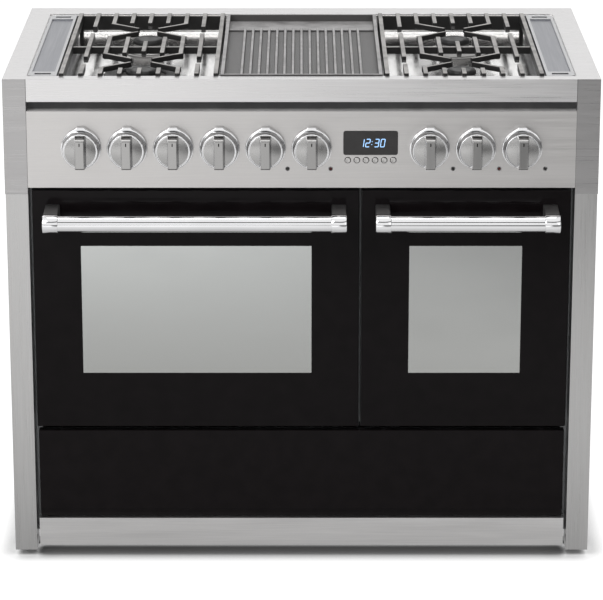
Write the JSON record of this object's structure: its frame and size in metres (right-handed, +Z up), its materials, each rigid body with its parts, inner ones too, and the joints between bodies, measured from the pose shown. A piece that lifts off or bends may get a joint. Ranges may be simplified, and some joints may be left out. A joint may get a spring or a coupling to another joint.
{
  "type": "range cooker with double oven",
  "caption": "Free-standing range cooker: gas and griddle hob, knobs and clock on a steel panel, two bottom-hinged black glass ovens over a drawer.",
  "frame": {"origin": "middle of the footprint on the floor, the footprint running from the handles' fronts to the back panel", "axes": "+Z up, +X to the right seen from the front, the doors and knobs face -Y"},
  "size_m": [1, 0.674, 0.854],
  "materials": {
    "brushed_steel": "brushed",
    "polished_steel": "polished",
    "tray_steel": "satin",
    "galvanised": "satin",
    "oven_enamel": "gloss",
    "chrome": "polished",
    "black_glass": "gloss",
    "inner_glass": "gloss",
    "black_enamel": "gloss",
    "seal_rubber": "matte",
    "foot_plastic": "matte",
    "cast_iron": "matte",
    "griddle_iron": "satin",
    "burner_alloy": "satin",
    "cap_enamel": "satin",
    "gas_brass": "satin",
    "switch_plastic": "matte",
    "clock_plastic": "gloss",
    "lamp_plastic": "gloss",
    "button_steel": "satin",
    "element_steel": "matte",
    "motor_paint": "satin",
    "fan_alloy": "satin"
  },
  "bodies": {
    "cooker": {"left_side_panel": "brushed_steel", "right_side_panel": "brushed_steel", "base_frame": "galvanised", "levelling_feet": "foot_plastic", "plinth": "brushed_steel", "back_panel": "galvanised", "terminal_box": "foot_plastic", "oven_face_frame": "galvanised", "left_oven_liner": "oven_enamel", "right_oven_liner": "oven_enamel", "door_seals": "seal_rubber", "hinge_brackets": "brushed_steel", "side_racks": "chrome", "oven_shelves": "chrome", "heating_elements": "element_steel", "fan_motor": "motor_paint", "drawer_runners": "galvanised", "control_panel": "brushed_steel", "clock_module": "clock_plastic", "indicator_lamps": "lamp_plastic", "control_switches": "switch_plastic", "gas_train": "gas_brass", "hob_surround": "brushed_steel", "hob_basin": "polished_steel", "burner_bodies": "burner_alloy"},
    "left_door": {"left_door_frame": "brushed_steel", "left_door_glass": "black_glass", "left_inner_glass": "inner_glass", "left_handle": "chrome"},
    "right_door": {"right_door_frame": "brushed_steel", "right_door_glass": "black_glass", "right_inner_glass": "inner_glass", "right_handle": "chrome"},
    "drawer": {"drawer_front": "black_enamel", "drawer_box": "galvanised"},
    "knob_1": {"knob_1": "chrome"},
    "knob_2": {"knob_2": "chrome"},
    "knob_3": {"knob_3": "chrome"},
    "knob_4": {"knob_4": "chrome"},
    "knob_5": {"knob_5": "chrome"},
    "knob_6": {"knob_6": "chrome"},
    "knob_7": {"knob_7": "chrome"},
    "knob_8": {"knob_8": "chrome"},
    "knob_9": {"knob_9": "chrome"},
    "clock_button_1": {"clock_button_1": "button_steel"},
    "clock_button_2": {"clock_button_2": "button_steel"},
    "clock_button_3": {"clock_button_3": "button_steel"},
    "clock_button_4": {"clock_button_4": "button_steel"},
    "clock_button_5": {"clock_button_5": "button_steel"},
    "clock_button_6": {"clock_button_6": "button_steel"},
    "left_pan_support": {"left_pan_support": "cast_iron"},
    "right_pan_support": {"right_pan_support": "cast_iron"},
    "griddle_plate": {"griddle_plate": "griddle_iron"},
    "left_side_tray": {"left_side_tray": "tray_steel"},
    "right_side_tray": {"right_side_tray": "tray_steel"},
    "front_left_burner_cap": {"front_left_burner_cap": "cap_enamel"},
    "rear_left_burner_cap": {"rear_left_burner_cap": "cap_enamel"},
    "front_right_burner_cap": {"front_right_burner_cap": "cap_enamel"},
    "rear_right_burner_cap": {"rear_right_burner_cap": "cap_enamel"},
    "oven_fan": {"oven_fan": "fan_alloy"}
  },
  "joints": [
    {"name": "left_door_hinge", "type": "hinge", "parent": "cooker", "child": "left_door", "pos_m": [-0.1785, -0.249, 0.25], "axis": [1, 0, 0], "range_deg": [0, 90]},
    {"name": "right_door_hinge", "type": "hinge", "parent": "cooker", "child": "right_door", "pos_m": [0.2785, -0.249, 0.25], "axis": [1, 0, 0], "range_deg": [0, 90]},
    {"name": "drawer_slide", "type": "slide", "parent": "cooker", "child": "drawer", "axis": [0, -1, 0], "range_m": [0, 0.4]},
    {"name": "knob_1_turn", "type": "hinge", "parent": "cooker", "child": "knob_1", "pos_m": [-0.37, -0.263, 0.732], "axis": [0, -1, 0], "range_deg": [0, 210]},
    {"name": "knob_2_turn", "type": "hinge", "parent": "cooker", "child": "knob_2", "pos_m": [-0.2926, -0.263, 0.732], "axis": [0, -1, 0], "range_deg": [0, 210]},
    {"name": "knob_3_turn", "type": "hinge", "parent": "cooker", "child": "knob_3", "pos_m": [-0.2152, -0.263, 0.732], "axis": [0, -1, 0], "range_deg": [0, 210]},
    {"name": "knob_4_turn", "type": "hinge", "parent": "cooker", "child": "knob_4", "pos_m": [-0.1378, -0.263, 0.732], "axis": [0, -1, 0], "range_deg": [0, 210]},
    {"name": "knob_5_turn", "type": "hinge", "parent": "cooker", "child": "knob_5", "pos_m": [-0.0604, -0.263, 0.732], "axis": [0, -1, 0], "range_deg": [-270, 0]},
    {"name": "knob_6_turn", "type": "hinge", "parent": "cooker", "child": "knob_6", "pos_m": [0.017, -0.263, 0.732], "axis": [0, -1, 0], "range_deg": [-270, 0]},
    {"name": "knob_7_turn", "type": "hinge", "parent": "cooker", "child": "knob_7", "pos_m": [0.2152, -0.263, 0.732], "axis": [0, -1, 0], "range_deg": [-270, 0]},
    {"name": "knob_8_turn", "type": "hinge", "parent": "cooker", "child": "knob_8", "pos_m": [0.2926, -0.263, 0.732], "axis": [0, -1, 0], "range_deg": [-270, 0]},
    {"name": "knob_9_turn", "type": "hinge", "parent": "cooker", "child": "knob_9", "pos_m": [0.37, -0.263, 0.732], "axis": [0, -1, 0], "range_deg": [-270, 0]},
    {"name": "clock_button_1_press", "type": "slide", "parent": "cooker", "child": "clock_button_1", "axis": [0, 1, 0], "range_m": [0, 0.0012], "stiffness_N_per_m": 300},
    {"name": "clock_button_2_press", "type": "slide", "parent": "cooker", "child": "clock_button_2", "axis": [0, 1, 0], "range_m": [0, 0.0012], "stiffness_N_per_m": 300},
    {"name": "clock_button_3_press", "type": "slide", "parent": "cooker", "child": "clock_button_3", "axis": [0, 1, 0], "range_m": [0, 0.0012], "stiffness_N_per_m": 300},
    {"name": "clock_button_4_press", "type": "slide", "parent": "cooker", "child": "clock_button_4", "axis": [0, 1, 0], "range_m": [0, 0.0012], "stiffness_N_per_m": 300},
    {"name": "clock_button_5_press", "type": "slide", "parent": "cooker", "child": "clock_button_5", "axis": [0, 1, 0], "range_m": [0, 0.0012], "stiffness_N_per_m": 300},
    {"name": "clock_button_6_press", "type": "slide", "parent": "cooker", "child": "clock_button_6", "axis": [0, 1, 0], "range_m": [0, 0.0012], "stiffness_N_per_m": 300},
    {"name": "left_pan_support_lift", "type": "slide", "parent": "cooker", "child": "left_pan_support", "axis": [0, 0, 1], "range_m": [0, 0.08]},
    {"name": "right_pan_support_lift", "type": "slide", "parent": "cooker", "child": "right_pan_support", "axis": [0, 0, 1], "range_m": [0, 0.08]},
    {"name": "griddle_plate_lift", "type": "slide", "parent": "cooker", "child": "griddle_plate", "axis": [0, 0, 1], "range_m": [0, 0.08]},
    {"name": "left_side_tray_lift", "type": "slide", "parent": "cooker", "child": "left_side_tray", "axis": [0, 0, 1], "range_m": [0, 0.08]},
    {"name": "right_side_tray_lift", "type": "slide", "parent": "cooker", "child": "right_side_tray", "axis": [0, 0, 1], "range_m": [0, 0.08]},
    {"name": "front_left_burner_cap_lift", "type": "slide", "parent": "cooker", "child": "front_left_burner_cap", "axis": [0, 0, 1], "range_m": [0, 0.005]},
    {"name": "rear_left_burner_cap_lift", "type": "slide", "parent": "cooker", "child": "rear_left_burner_cap", "axis": [0, 0, 1], "range_m": [0, 0.005]},
    {"name": "front_right_burner_cap_lift", "type": "slide", "parent": "cooker", "child": "front_right_burner_cap", "axis": [0, 0, 1], "range_m": [0, 0.005]},
    {"name": "rear_right_burner_cap_lift", "type": "slide", "parent": "cooker", "child": "rear_right_burner_cap", "axis": [0, 0, 1], "range_m": [0, 0.005]},
    {"name": "oven_fan_spin", "type": "hinge", "parent": "cooker", "child": "oven_fan", "pos_m": [-0.1785, 0.195, 0.4625], "axis": [0, 1, 0], "continuous": true}
  ]
}
